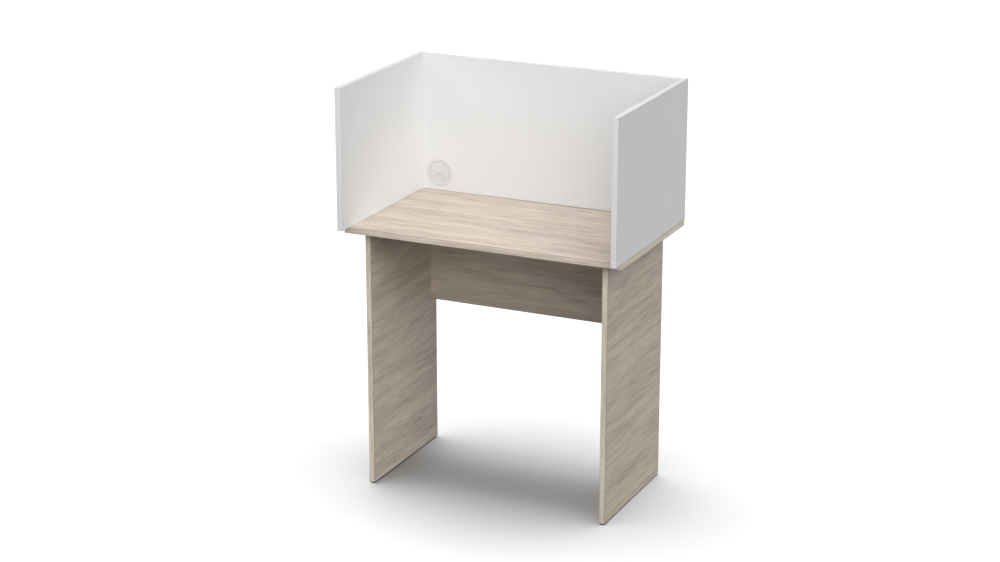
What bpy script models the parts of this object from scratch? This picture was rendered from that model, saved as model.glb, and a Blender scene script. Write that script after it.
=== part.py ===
"""Study carrel: a narrow desk on two panel legs, with white screens on three sides.

It is flat-pack furniture in 16 mm melamine-faced board. The desktop lies on two panel legs, which a
modesty panel ties together. Two side screens stand on the desktop's ends and reach past its front
edge, and the back screen sits between them. Cam fittings and dowels hold the boards together, and
one-piece screws come up through the desktop into the side screens. A cable port low in the back
screen has a cap that turns in its sleeve, and the legs stand on nailed glides.

Frame: metres, +Z up, the sitter at -Y and +X to the sitter's right. The origin is on the floor, under
the centre of the carrel's outline.
"""

from collections import namedtuple
from math import cos, pi, radians, sin

import bmesh
import bpy
from mathutils import Matrix, Vector

# Overall sizes
WIDTH = 0.812  # the desktop, and over both side screens
HEIGHT = 1.146
DESK_HEIGHT = 0.750
DESK_DEPTH = 0.456
SCREEN_DEPTH = 0.500
SCREEN_REACH = 0.040  # how far the side screens pass the desktop's front edge
BACK_CLEARANCE = 0.0012  # the back screen hangs this far above the desktop

# Boards
BOARD = 0.016
BAND = 0.002  # edge band, included in each board's outer size
ARRIS = 0.001  # rounding along a band's outer edges
GAP = 0.0003  # clearance between neighbouring pieces

# Legs and modesty panel
LEG_OVERHANG = 0.049  # from the desktop's end to a leg's outer face
LEG_SETBACK = 0.027  # from the desktop's front edge to a leg's front edge
LEG_DEPTH = 0.398
PANEL_SETBACK = 0.021  # from a leg's rear edge to the modesty panel's rear face
PANEL_HEIGHT = 0.294

# Glides
GLIDE_HEIGHT = 0.004
GLIDE_RADIUS = 0.008
GLIDE_INSET = 0.0095  # from a leg's front or rear edge to a glide's centre
NAIL_RADIUS = 0.0012
NAIL_LENGTH = 0.018  # above the glide
NAIL_SLACK = 0.0004

# Cable port
PORT_SIDE = 0.054  # from the left side screen's inner face to the port's centre
PORT_RISE = 0.054  # from the desktop to the port's centre
PORT_RADIUS = 0.030
FLANGE_RADIUS = 0.040
CAP_RADIUS = 0.0300
NOTCH_WIDTH = 0.027
NOTCH_TOP = -0.0025  # top of the cap's cable notch, above the port's centre

# Cam fittings
CAM_REACH = 0.034  # from a board's end to the centre of its cam
CAM_RADIUS = 0.007
CAM_LENGTH = 0.0122
POCKET_RADIUS = 0.0075
POCKET_DEPTH = 0.0127
BOLT_THREAD = 0.011
BOLT_RADIUS = 0.0030
HEAD_RADIUS = 0.0034
BOLT_BORE = 0.004
PILOT_RADIUS = 0.0036
PILOT_DEPTH = 0.0118

# Dowels and one-piece screws
DOWEL_RADIUS = 0.004
DOWEL_LENGTH = 0.030
DOWEL_SEAT = 0.010  # the part of a dowel that enters the receiving board's face
DOWEL_SLACK = 0.0008
SCREW_LENGTH = 0.050
SCREW_RADIUS = 0.0032
SCREW_HEAD_RADIUS = 0.0050
SCREW_HEAD_LENGTH = 0.004
SCREW_SLACK = 0.0004

# Hole pitches follow the 32 mm system
PITCH = 0.032
LEG_CAM_OFFSET = 3 * PITCH
PANEL_CAM_OFFSET = 3 * PITCH
SCREEN_CAM_HEIGHTS = {"lower": 0.130, "upper": 0.130 + 7 * PITCH}  # above the desktop
SCREEN_DOWEL_HEIGHT = 0.242
SCREW_OFFSET = 5 * PITCH

# Facets
ROUND_SIDES = 40
SMALL_SIDES = 12
POCKET_SIDES = 20

X = Vector((1, 0, 0))
Y = Vector((0, 1, 0))
Z = Vector((0, 0, 1))
HANDS = (("left", -1), ("right", 1))

# Places worked out from the sizes
OVERRUN = 0.001  # how far a cutter starts outside the surface that it enters
SIDE = WIDTH / 2
SCREEN_INNER = SIDE - BOARD
SCREEN_FRONT = -SCREEN_DEPTH / 2
SCREEN_REAR = SCREEN_DEPTH / 2
SCREEN_FOOT = DESK_HEIGHT + GAP
DESK_FRONT = SCREEN_FRONT + SCREEN_REACH
DESK_REAR = DESK_FRONT + DESK_DEPTH
DESK_UNDER = DESK_HEIGHT - BOARD
LEG_OUTER = SIDE - LEG_OVERHANG
LEG_INNER = LEG_OUTER - BOARD
LEG_FRONT = DESK_FRONT + LEG_SETBACK
LEG_REAR = LEG_FRONT + LEG_DEPTH
LEG_MIDDLE = (LEG_FRONT + LEG_REAR) / 2
PANEL_REAR = LEG_REAR - PANEL_SETBACK
PANEL_FRONT = PANEL_REAR - BOARD
PANEL_BOTTOM = DESK_UNDER - PANEL_HEIGHT
PANEL_MIDDLE = DESK_UNDER - PANEL_HEIGHT / 2
BACK_FRONT = SCREEN_REAR - BOARD
PORT = Vector((PORT_SIDE - SCREEN_INNER, BACK_FRONT, DESK_HEIGHT + PORT_RISE))

Hole = namedtuple("Hole", "mouth into radius depth")
Cam = namedtuple("Cam", "seat into face")
Dowel = namedtuple("Dowel", "seat into")


# Materials


def make_material(name, color, roughness, metallic=0.0):
    """A plain material for one kind of finish."""
    material = bpy.data.materials.new(name)
    material.use_nodes = True
    shader = material.node_tree.nodes["Principled BSDF"]
    shader.inputs["Base Color"].default_value = (*color, 1.0)
    shader.inputs["Roughness"].default_value = roughness
    shader.inputs["Metallic"].default_value = metallic
    return material


def make_materials():
    """Every finish on the carrel, by name."""
    return {
        "ash_laminate": make_material("ash_laminate", (0.60, 0.52, 0.43), 0.55),
        "ash_edging": make_material("ash_edging", (0.64, 0.56, 0.46), 0.50),
        "white_laminate": make_material("white_laminate", (0.82, 0.82, 0.81), 0.45),
        "white_edging": make_material("white_edging", (0.80, 0.80, 0.80), 0.40),
        "port_plastic": make_material("port_plastic", (0.62, 0.61, 0.60), 0.40),
        "glide_plastic": make_material("glide_plastic", (0.02, 0.02, 0.02), 0.50),
        "cam_zinc": make_material("cam_zinc", (0.55, 0.55, 0.56), 0.40, 1.0),
        "plated_steel": make_material("plated_steel", (0.62, 0.60, 0.56), 0.30, 1.0),
        "beech": make_material("beech", (0.62, 0.45, 0.28), 0.70),
    }


# Shapes


def axis_place(origin, axis):
    """A placing whose Z runs along axis."""
    return Matrix.Translation(origin) @ axis.to_track_quat("Z", "Y").to_matrix().to_4x4()


def face_place(origin, out, up):
    """A placing whose Z runs along out and whose Y runs along up."""
    turn = Matrix((up.cross(out), up, out)).transposed()
    return Matrix.Translation(origin) @ turn.to_4x4()


def add_block(bm, low, high):
    """A closed cuboid between two corners."""
    low = Vector(low)
    high = Vector(high)
    stretch = Matrix.Diagonal((*(high - low), 1))
    bmesh.ops.create_cube(bm, size=1, matrix=Matrix.Translation((low + high) / 2) @ stretch)


def add_prism(bm, outline, low, high):
    """A closed outline of (x, y) points, extruded along Z from low to high."""
    face = bm.faces.new([bm.verts.new((x, y, low)) for x, y in outline])
    grown = bmesh.ops.extrude_face_region(bm, geom=[face])
    moved = [item for item in grown["geom"] if isinstance(item, bmesh.types.BMVert)]
    bmesh.ops.translate(bm, verts=moved, vec=(0, 0, high - low))


def add_turned(bm, profile, sides, place=Matrix.Identity(4), ring=False):
    """A profile of (radius, height) points turned about Z. A ring's profile closes on itself."""
    older = set(bm.verts)
    points = [bm.verts.new((radius, 0, height)) for radius, height in profile]
    edges = [bm.edges.new(pair) for pair in zip(points, points[1:])]
    if ring:
        edges.append(bm.edges.new((points[-1], points[0])))
    bmesh.ops.spin(
        bm,
        geom=points + edges,
        cent=(0, 0, 0),
        axis=Z,
        angle=2 * pi,
        steps=sides,
        use_merge=True,
    )
    turned = [vert for vert in bm.verts if vert not in older]
    bmesh.ops.transform(bm, matrix=place, verts=turned)
    bmesh.ops.remove_doubles(bm, verts=turned, dist=1e-6)


def add_wrapped(bm, width, height, profile):
    """A strip wrapped round a rectangle in X and Y; its profile holds (inset, z) points."""
    loops = []
    for inset, z in profile:
        x = width / 2 - inset
        y = height / 2 - inset
        loops.append([bm.verts.new(corner) for corner in ((-x, -y, z), (x, -y, z), (x, y, z), (-x, y, z))])
    for loop, following in zip(loops, loops[1:] + loops[:1]):
        for corner in range(4):
            after = (corner + 1) % 4
            bm.faces.new((loop[corner], loop[after], following[after], following[corner]))


def corner_arc(x, y, radius, start, steps=3):
    """Points on a quarter circle about (x, y), from the angle start in degrees."""
    angles = [radians(start + 90 * step / steps) for step in range(steps + 1)]
    return [(x + radius * cos(angle), y + radius * sin(angle)) for angle in angles]


def band_profile():
    """A band's section as (across, outward) points, with its outer face at zero."""
    half = BOARD / 2
    profile = [(-half, GAP - BAND), (half, GAP - BAND)]
    profile += corner_arc(half - ARRIS, -ARRIS, ARRIS, 0)
    profile += corner_arc(ARRIS - half, -ARRIS, ARRIS, 90)
    return profile


def link_object(name, mesh, place):
    """A new object in the scene."""
    obj = bpy.data.objects.new(name, mesh)
    obj.matrix_world = place
    bpy.context.scene.collection.objects.link(obj)
    return obj


def mesh_from(name, bm):
    """A mesh with its faces pointing out."""
    bmesh.ops.recalc_face_normals(bm, faces=bm.faces)
    mesh = bpy.data.meshes.new(name)
    bm.to_mesh(mesh)
    bm.free()
    return mesh


def make_part(name, bm, material, place, smooth=False):
    """A named piece of the carrel."""
    mesh = mesh_from(name, bm)
    mesh.materials.append(material)
    if smooth:
        mesh.shade_smooth()
        mesh.set_sharp_from_angle(angle=radians(40))
    return link_object(name, mesh, place)


def cut(obj, label, bm, place=Matrix.Identity(4)):
    """Takes a cutter's volume out of a piece."""
    name = f"{obj.name}_{label}_cutter"
    cutter = link_object(name, mesh_from(name, bm), place)
    cutter.hide_render = True
    cutter.display_type = "WIRE"
    modifier = obj.modifiers.new(label, "BOOLEAN")
    modifier.operation = "DIFFERENCE"
    modifier.solver = "EXACT"
    modifier.object = cutter


def drill(obj, label, holes, sides=SMALL_SIDES):
    """Bores round holes into a piece, each from just outside its mouth."""
    bm = bmesh.new()
    for hole in holes:
        profile = [(0, -OVERRUN), (hole.radius, -OVERRUN), (hole.radius, hole.depth), (0, hole.depth)]
        add_turned(bm, profile, sides, axis_place(hole.mouth, hole.into))
    cut(obj, label, bm)


def cut_mesh(obj):
    """The mesh of a piece with its cuts made, for copies to share. The piece itself is removed."""
    bpy.context.view_layer.update()
    graph = bpy.context.evaluated_depsgraph_get()
    mesh = bpy.data.meshes.new_from_object(obj.evaluated_get(graph))
    for used in [obj] + [modifier.object for modifier in obj.modifiers]:
        bpy.data.objects.remove(used)
    return mesh


def make_board(name, low, high, material):
    """A flat board between two corners."""
    low = Vector(low)
    high = Vector(high)
    half = (high - low) / 2
    bm = bmesh.new()
    add_block(bm, -half, half)
    return make_part(name, bm, material, Matrix.Translation((low + high) / 2))


def make_band(name, start, end, outward, material):
    """An edge band between two points on the middle line of its outer face."""
    start = Vector(start)
    end = Vector(end)
    along = end - start
    half = along.length / 2
    bm = bmesh.new()
    add_prism(bm, band_profile(), -half, half)
    return make_part(name, bm, material, face_place((start + end) / 2, along.normalized(), outward))


# Fittings: where they sit


def leg_cams(side):
    """Cams near the top of a leg, opening on its inner face."""
    x = side * (LEG_INNER + BOARD / 2)
    rows = {"front": LEG_MIDDLE - LEG_CAM_OFFSET, "rear": LEG_MIDDLE + LEG_CAM_OFFSET}
    return {row: Cam(Vector((x, y, DESK_UNDER)), -Z, -side * X) for row, y in rows.items()}


def panel_cams(side):
    """Cams near one end of the modesty panel, opening on its rear face."""
    y = PANEL_REAR - BOARD / 2
    rows = {"lower": PANEL_MIDDLE - PANEL_CAM_OFFSET, "upper": PANEL_MIDDLE + PANEL_CAM_OFFSET}
    return {row: Cam(Vector((side * LEG_INNER, y, z)), -side * X, Y) for row, z in rows.items()}


def screen_cams(side):
    """Cams near one end of the back screen, opening on its rear face."""
    seat = Vector((side * SCREEN_INNER, SCREEN_REAR - BOARD / 2, DESK_HEIGHT))
    return {row: Cam(seat + height * Z, -side * X, Y) for row, height in SCREEN_CAM_HEIGHTS.items()}


def leg_dowel(side):
    """The dowel that stands in a leg's top edge."""
    return Dowel(Vector((side * (LEG_INNER + BOARD / 2), LEG_MIDDLE, DESK_UNDER)), -Z)


def panel_dowel(side):
    """The dowel in one end of the modesty panel."""
    return Dowel(Vector((side * LEG_INNER, PANEL_REAR - BOARD / 2, PANEL_MIDDLE)), -side * X)


def screen_dowel(side):
    """The dowel in one end of the back screen."""
    z = DESK_HEIGHT + SCREEN_DOWEL_HEIGHT
    return Dowel(Vector((side * SCREEN_INNER, SCREEN_REAR - BOARD / 2, z)), -side * X)


def screw_points(side):
    """Where the screws of one side screen enter the desktop's underside."""
    middle = Vector((side * (SCREEN_INNER + BOARD / 2), (DESK_FRONT + DESK_REAR) / 2, DESK_UNDER))
    return {"front": middle - SCREW_OFFSET * Y, "rear": middle + SCREW_OFFSET * Y}


def glide_points(side):
    """The floor points under a leg's front and rear glides."""
    x = side * (LEG_INNER + BOARD / 2)
    return {
        "front": Vector((x, LEG_FRONT + GLIDE_INSET, 0)),
        "rear": Vector((x, LEG_REAR - GLIDE_INSET, 0)),
    }


# Fittings: the holes that they need


def cam_center(cam):
    """The point on the board's face at the middle of a cam."""
    return cam.seat + CAM_REACH * cam.into + BOARD / 2 * cam.face


def pocket(cam):
    """The pocket that a cam sits in."""
    return Hole(cam_center(cam), -cam.face, POCKET_RADIUS, POCKET_DEPTH)


def bolt_bore(cam):
    """The bore that a cam's bolt reaches it through."""
    return Hole(cam.seat, cam.into, BOLT_BORE, CAM_REACH)


def bolt_pilot(cam):
    """The hole that a cam's bolt screws into, in the other board's face."""
    return Hole(cam.seat, -cam.into, PILOT_RADIUS, PILOT_DEPTH)


def dowel_bore(dowel):
    """The bore for a dowel in the board's end."""
    depth = DOWEL_LENGTH - DOWEL_SEAT + DOWEL_SLACK
    return Hole(dowel.seat, dowel.into, DOWEL_RADIUS + DOWEL_SLACK / 2, depth)


def dowel_socket(dowel):
    """The socket for a dowel in the other board's face."""
    return Hole(dowel.seat, -dowel.into, DOWEL_RADIUS + DOWEL_SLACK / 2, DOWEL_SEAT + DOWEL_SLACK)


def screw_hole(point):
    """The hole for a one-piece screw, through the desktop and up into a side screen."""
    return Hole(point, Z, PILOT_RADIUS, SCREW_LENGTH + OVERRUN)


def screw_seat(point):
    """The wider hole for a screw's head in the desktop's underside."""
    return Hole(point, Z, SCREW_HEAD_RADIUS + SCREW_SLACK, SCREW_HEAD_LENGTH + SCREW_SLACK)


def nail_bore(point):
    """The bore for a glide's nail in a leg's bottom edge."""
    return Hole(point + GLIDE_HEIGHT * Z, Z, NAIL_RADIUS + NAIL_SLACK, NAIL_LENGTH + NAIL_SLACK)


# Boards and their edge bands


def make_desktop(materials):
    """The desktop, banded on all four edges."""
    board = make_board(
        "desktop",
        (BAND - SIDE, DESK_FRONT + BAND, DESK_UNDER),
        (SIDE - BAND, DESK_REAR - BAND, DESK_HEIGHT),
        materials["ash_laminate"],
    )
    points = [point for side in (-1, 1) for point in screw_points(side).values()]
    holes = [screw_hole(point) for point in points]
    for side in (-1, 1):
        holes += [bolt_pilot(cam) for cam in leg_cams(side).values()]
        holes.append(dowel_socket(leg_dowel(side)))
    drill(board, "bores", holes)
    drill(board, "screw_seats", [screw_seat(point) for point in points])

    z = DESK_HEIGHT - BOARD / 2
    edging = materials["ash_edging"]
    for end, y, outward in (("front", DESK_FRONT, -Y), ("rear", DESK_REAR, Y)):
        make_band(f"desktop_edge_{end}", (-SIDE, y, z), (SIDE, y, z), outward, edging)
    front = DESK_FRONT + BAND + GAP
    rear = DESK_REAR - BAND - GAP
    for hand, side in HANDS:
        ends = ((side * SIDE, front, z), (side * SIDE, rear, z))
        make_band(f"desktop_edge_{hand}", *ends, side * X, edging)


def make_leg(hand, side, materials):
    """A panel leg, banded on its front and rear edges."""
    low_x, high_x = sorted((side * LEG_INNER, side * LEG_OUTER))
    board = make_board(
        f"{hand}_leg",
        (low_x, LEG_FRONT + BAND, GLIDE_HEIGHT),
        (high_x, LEG_REAR - BAND, DESK_UNDER - GAP),
        materials["ash_laminate"],
    )
    cams = leg_cams(side).values()
    holes = [bolt_bore(cam) for cam in cams]
    holes += [bolt_pilot(cam) for cam in panel_cams(side).values()]
    holes += [nail_bore(point) for point in glide_points(side).values()]
    holes += [dowel_bore(leg_dowel(side)), dowel_socket(panel_dowel(side))]
    drill(board, "bores", holes)
    drill(board, "pockets", [pocket(cam) for cam in cams], POCKET_SIDES)

    x = side * (LEG_INNER + BOARD / 2)
    for end, y, outward in (("front", LEG_FRONT, -Y), ("rear", LEG_REAR, Y)):
        ends = ((x, y, GLIDE_HEIGHT), (x, y, DESK_UNDER - GAP))
        make_band(f"{hand}_leg_edge_{end}", *ends, outward, materials["ash_edging"])


def make_modesty_panel(materials):
    """The panel between the legs, banded along its lower edge."""
    half = LEG_INNER - GAP
    board = make_board(
        "modesty_panel",
        (-half, PANEL_FRONT, PANEL_BOTTOM + BAND),
        (half, PANEL_REAR, DESK_UNDER - GAP),
        materials["ash_laminate"],
    )
    cams = [cam for side in (-1, 1) for cam in panel_cams(side).values()]
    holes = [bolt_bore(cam) for cam in cams]
    holes += [dowel_bore(panel_dowel(side)) for side in (-1, 1)]
    drill(board, "bores", holes)
    drill(board, "pockets", [pocket(cam) for cam in cams], POCKET_SIDES)

    y = PANEL_REAR - BOARD / 2
    ends = ((-half, y, PANEL_BOTTOM), (half, y, PANEL_BOTTOM))
    make_band("modesty_panel_edge", *ends, -Z, materials["ash_edging"])


def make_side_screen(hand, side, materials):
    """A side screen, which stands on the desktop's end with one strip of edging all round."""
    low_x, high_x = sorted((side * SCREEN_INNER, side * SIDE))
    board = make_board(
        f"{hand}_screen",
        (low_x, SCREEN_FRONT + BAND, SCREEN_FOOT + BAND),
        (high_x, SCREEN_REAR - BAND, HEIGHT - BAND),
        materials["white_laminate"],
    )
    holes = [screw_hole(point) for point in screw_points(side).values()]
    drill(board, "bores", holes + [dowel_socket(screen_dowel(side))])
    drill(board, "pilots", [bolt_pilot(cam) for cam in screen_cams(side).values()])

    bm = bmesh.new()
    section = [(-outward, across) for across, outward in band_profile()]
    add_wrapped(bm, SCREEN_DEPTH, HEIGHT - SCREEN_FOOT, section)
    middle = Vector((side * (SCREEN_INNER + BOARD / 2), 0, (SCREEN_FOOT + HEIGHT) / 2))
    edging = make_part(f"{hand}_screen_edging", bm, materials["white_edging"], face_place(middle, X, Z))
    drill(edging, "bores", holes)


def make_back_screen(materials):
    """The back screen between the side screens, banded along its top, with the port's hole."""
    half = SCREEN_INNER - GAP
    board = make_board(
        "back_screen",
        (-half, BACK_FRONT, DESK_HEIGHT + BACK_CLEARANCE),
        (half, SCREEN_REAR, HEIGHT - BAND),
        materials["white_laminate"],
    )
    cams = [cam for side in (-1, 1) for cam in screen_cams(side).values()]
    holes = [bolt_bore(cam) for cam in cams]
    holes += [dowel_bore(screen_dowel(side)) for side in (-1, 1)]
    drill(board, "bores", holes)
    drill(board, "pockets", [pocket(cam) for cam in cams], POCKET_SIDES)
    drill(board, "port", [Hole(PORT, Y, PORT_RADIUS, BOARD + OVERRUN)], ROUND_SIDES)

    y = SCREEN_REAR - BOARD / 2
    make_band("back_screen_edge", (-half, y, HEIGHT), (half, y, HEIGHT), Z, materials["white_edging"])


# Cable port


def make_port_sleeve(material):
    """The port's fixed sleeve: a flange on the screen and a tube with a groove that keeps the cap."""
    flange = 0.0025
    rounding = 0.0015
    ease = 0.0008
    seat = 0.0010
    seat_radius = CAP_RADIUS + 0.0006
    tube_outer = 0.0295
    tube_inner = 0.0275
    groove = 0.0285
    groove_start = -0.0080
    tube_end = -0.0140
    profile = [(tube_outer, GAP), (FLANGE_RADIUS, GAP)]
    profile += corner_arc(FLANGE_RADIUS - rounding, flange - rounding, rounding, 0)
    profile += corner_arc(seat_radius + ease, flange - ease, ease, 90)
    profile += [
        (seat_radius, seat),
        (tube_inner, seat),
        (tube_inner, groove_start),
        (groove, groove_start - 0.0010),
        (groove, tube_end),
        (tube_outer, tube_end),
    ]
    bm = bmesh.new()
    add_turned(bm, profile, ROUND_SIDES, ring=True)
    make_part("port_sleeve", bm, material, face_place(PORT, -Y, Z), smooth=True)


def make_port_cap(material):
    """The cap that turns in the sleeve: a disc, a skirt with a snap lip, and a cable notch.

    A thin web closes the notch until it is broken out for a cable.
    """
    top = 0.0028
    under = 0.0013
    web_front = 0.0002
    inner = -0.0012
    rounding = 0.0012
    skirt_outer = 0.0270
    skirt_inner = 0.0252
    skirt_end = -0.0120
    lip = 0.0278
    profile = [(0, top)]
    profile += corner_arc(CAP_RADIUS - rounding, top - rounding, rounding, 0)[::-1]
    profile += [
        (CAP_RADIUS, under),
        (skirt_outer, under),
        (skirt_outer, skirt_end + 0.0026),
        (lip, skirt_end + 0.0020),
        (lip, skirt_end + 0.0008),
        (skirt_outer, skirt_end),
        (skirt_inner, skirt_end),
        (skirt_inner, inner),
        (0, inner),
    ]
    place = face_place(PORT, -Y, Z)
    bm = bmesh.new()
    add_turned(bm, profile, ROUND_SIDES)
    cap = make_part("port_cap", bm, material, place, smooth=True)

    half = NOTCH_WIDTH / 2
    arch = corner_arc(0, NOTCH_TOP - half, half, 0, 6) + corner_arc(0, NOTCH_TOP - half, half, 90, 6)[1:]
    bm = bmesh.new()
    add_prism(bm, [(-half, -FLANGE_RADIUS), (half, -FLANGE_RADIUS)] + arch, web_front, BOARD)
    cut(cap, "notch", bm, place)


# Fasteners and glides


def cam_mesh(material):
    """A cam housing about its own axis, slotted for the bolt's head and crossed for the driver."""
    bm = bmesh.new()
    profile = [(0, 0), (CAM_RADIUS, 0), (CAM_RADIUS, -CAM_LENGTH), (0, -CAM_LENGTH)]
    add_turned(bm, profile, POCKET_SIDES)
    cam = make_part("cam", bm, material, Matrix.Identity(4), smooth=True)

    slot_half = 0.0038
    slot_top = -0.0040
    bm = bmesh.new()
    add_block(bm, (-slot_half, -slot_half, -BOARD), (slot_half, 2 * CAM_RADIUS, slot_top))
    cut(cam, "slot", bm)

    arm = 0.0040
    arm_half = 0.0007
    outline = []
    for quarter in range(4):
        turn = Matrix.Rotation(quarter * pi / 2, 2)
        outline += [turn @ Vector(point) for point in ((arm, arm_half), (arm_half, arm_half))]
        outline.append(turn @ Vector((arm_half, arm)))
    bm = bmesh.new()
    add_prism(bm, outline, -0.0015, OVERRUN)
    cut(cam, "cross", bm)
    return cut_mesh(cam)


def cam_bolt_mesh(material):
    """A cam bolt: a threaded end above zero, then a neck and the head that the cam draws on."""
    neck = 0.0022
    head_start = 0.0030 - CAM_REACH
    profile = [
        (0, BOLT_THREAD),
        (BOLT_RADIUS - 0.0008, BOLT_THREAD),
        (BOLT_RADIUS, BOLT_THREAD - 0.0015),
        (BOLT_RADIUS, -0.0040),
        (neck, -0.0046),
        (neck, head_start),
        (HEAD_RADIUS, head_start),
        (HEAD_RADIUS, -CAM_REACH),
        (0, -CAM_REACH),
    ]
    bm = bmesh.new()
    add_turned(bm, profile, SMALL_SIDES)
    return cut_mesh(make_part("cam_bolt", bm, material, Matrix.Identity(4), smooth=True))


def dowel_mesh(material):
    """A chamfered dowel, with its longer part below zero."""
    chamfer = 0.0010
    foot = DOWEL_SEAT - DOWEL_LENGTH
    profile = [
        (0, DOWEL_SEAT),
        (DOWEL_RADIUS - chamfer, DOWEL_SEAT),
        (DOWEL_RADIUS, DOWEL_SEAT - chamfer),
        (DOWEL_RADIUS, foot + chamfer),
        (DOWEL_RADIUS - chamfer, foot),
        (0, foot),
    ]
    bm = bmesh.new()
    add_turned(bm, profile, SMALL_SIDES)
    return cut_mesh(make_part("dowel", bm, material, Matrix.Identity(4), smooth=True))


def screw_mesh(material):
    """A one-piece screw with a hexagon socket, its head at zero and its tip above."""
    tip = 0.0015
    profile = [
        (0, 0),
        (SCREW_HEAD_RADIUS, 0),
        (SCREW_HEAD_RADIUS, 0.0015),
        (SCREW_RADIUS, SCREW_HEAD_LENGTH),
        (SCREW_RADIUS, SCREW_LENGTH - SCREW_RADIUS),
        (tip, SCREW_LENGTH),
        (0, SCREW_LENGTH),
    ]
    bm = bmesh.new()
    add_turned(bm, profile, SMALL_SIDES)
    screw = make_part("screw", bm, material, Matrix.Identity(4), smooth=True)

    socket_radius = 0.0023
    socket_depth = 0.0025
    bm = bmesh.new()
    hexagon = [(0, -OVERRUN), (socket_radius, -OVERRUN), (socket_radius, socket_depth), (0, socket_depth)]
    add_turned(bm, hexagon, 6)
    cut(screw, "socket", bm)
    return cut_mesh(screw)


def glide_mesh(material):
    """A round plastic glide, moulded onto its nail, standing on zero."""
    chamfer = 0.0012
    top = GLIDE_HEIGHT - GAP
    tip = GLIDE_HEIGHT + NAIL_LENGTH
    profile = [
        (0, 0),
        (GLIDE_RADIUS - chamfer, 0),
        (GLIDE_RADIUS, chamfer),
        (GLIDE_RADIUS, top),
        (NAIL_RADIUS, top),
        (NAIL_RADIUS, tip - 0.0025),
        (0, tip),
    ]
    bm = bmesh.new()
    add_turned(bm, profile, POCKET_SIDES)
    return cut_mesh(make_part("glide", bm, material, Matrix.Identity(4), smooth=True))


def place_fittings(materials):
    """Every cam, bolt and dowel, named after the joint that it holds."""
    cam_shape = cam_mesh(materials["cam_zinc"])
    bolt_shape = cam_bolt_mesh(materials["plated_steel"])
    dowel_shape = dowel_mesh(materials["beech"])
    joints = {
        "leg": (leg_cams, leg_dowel),
        "panel": (panel_cams, panel_dowel),
        "screen": (screen_cams, screen_dowel),
    }
    for hand, side in HANDS:
        for joint, (cams, dowel) in joints.items():
            for row, cam in cams(side).items():
                sunk = cam_center(cam) - GAP * cam.face
                link_object(f"{hand}_{joint}_cam_{row}", cam_shape, face_place(sunk, cam.face, -cam.into))
                link_object(f"{hand}_{joint}_bolt_{row}", bolt_shape, axis_place(cam.seat, -cam.into))
            peg = dowel(side)
            link_object(f"{hand}_{joint}_dowel", dowel_shape, axis_place(peg.seat, -peg.into))


def place_screws_and_glides(materials):
    """The screws under the side screens and the glides under the legs."""
    screw_shape = screw_mesh(materials["plated_steel"])
    glide_shape = glide_mesh(materials["glide_plastic"])
    for hand, side in HANDS:
        for row, point in screw_points(side).items():
            link_object(f"{hand}_screen_screw_{row}", screw_shape, Matrix.Translation(point + GAP * Z))
        for row, point in glide_points(side).items():
            link_object(f"{hand}_glide_{row}", glide_shape, Matrix.Translation(point))


def make_carrel():
    """Builds every piece of the carrel in an empty scene."""
    for obj in list(bpy.data.objects):
        bpy.data.objects.remove(obj)
    materials = make_materials()
    make_desktop(materials)
    for hand, side in HANDS:
        make_leg(hand, side, materials)
        make_side_screen(hand, side, materials)
    make_modesty_panel(materials)
    make_back_screen(materials)
    make_port_sleeve(materials["port_plastic"])
    make_port_cap(materials["port_plastic"])
    place_fittings(materials)
    place_screws_and_glides(materials)


make_carrel()
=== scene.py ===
"""Looks for the study carrel: fine boards, edge bands, fittings and cable port, and every finish.

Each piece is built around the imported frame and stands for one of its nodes. Places come from the
frame's own boxes, in metres: +Z up, the sitter at -Y and +X to the sitter's right.
"""

from math import cos, pi, radians, sin, tau

import bmesh
import bpy
import numpy as np
from mathutils import Euler, Matrix, Vector


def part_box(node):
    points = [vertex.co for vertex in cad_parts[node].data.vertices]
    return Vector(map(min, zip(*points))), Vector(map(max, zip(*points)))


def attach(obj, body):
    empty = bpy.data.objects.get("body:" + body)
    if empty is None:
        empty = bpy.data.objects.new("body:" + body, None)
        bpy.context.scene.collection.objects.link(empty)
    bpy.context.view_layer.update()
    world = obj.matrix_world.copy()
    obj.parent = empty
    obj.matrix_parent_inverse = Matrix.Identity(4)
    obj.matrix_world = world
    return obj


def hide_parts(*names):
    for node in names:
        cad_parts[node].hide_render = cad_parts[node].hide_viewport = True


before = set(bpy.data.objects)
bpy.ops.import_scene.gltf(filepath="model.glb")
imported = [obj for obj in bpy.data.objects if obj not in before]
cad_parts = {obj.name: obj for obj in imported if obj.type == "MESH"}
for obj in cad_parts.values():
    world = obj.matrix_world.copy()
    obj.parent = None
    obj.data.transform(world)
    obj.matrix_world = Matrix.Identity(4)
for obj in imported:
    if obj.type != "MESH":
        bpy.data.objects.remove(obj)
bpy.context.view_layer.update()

X = Vector((1, 0, 0))
Y = Vector((0, 1, 0))
Z = Vector((0, 0, 1))
HANDS = {"left": -1, "right": 1}  # each hand, and the sign of X on its side
ENDS = ("front", "rear")
ROWS = ("lower", "upper")
BODY = "carrel"

# Facets
FINE = 128
MEDIUM = 64
SMALL = 32

# What counts as flat or as one place
MERGE = 1e-7
NEAR = 1e-5
SQUARE = 0.99  # the least cosine between the normal of a board's face and the board's own

# Boards and bands
GAP = 0.0003  # clearance between neighbouring nodes of the frame
GLUE = 0.00005  # what is left of it between a board and its band
ARRIS = 0.001
END_EASE = 0.00025

# Holes
POCKET_SLACK = 0.0005
BORE_SLACK = 0.0006
DOWEL_SLACK = 0.0004
PILOT_SLACK = 0.0002
OPEN = 0.002  # how far a cutter starts outside the surface that it enters
SCREW_BORE = 0.0036
SCREW_SEAT = 0.0054
SCREW_SEAT_DEPTH = 0.0044
NAIL_BORE = 0.0016
PORT_HOLE = 0.030

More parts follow.
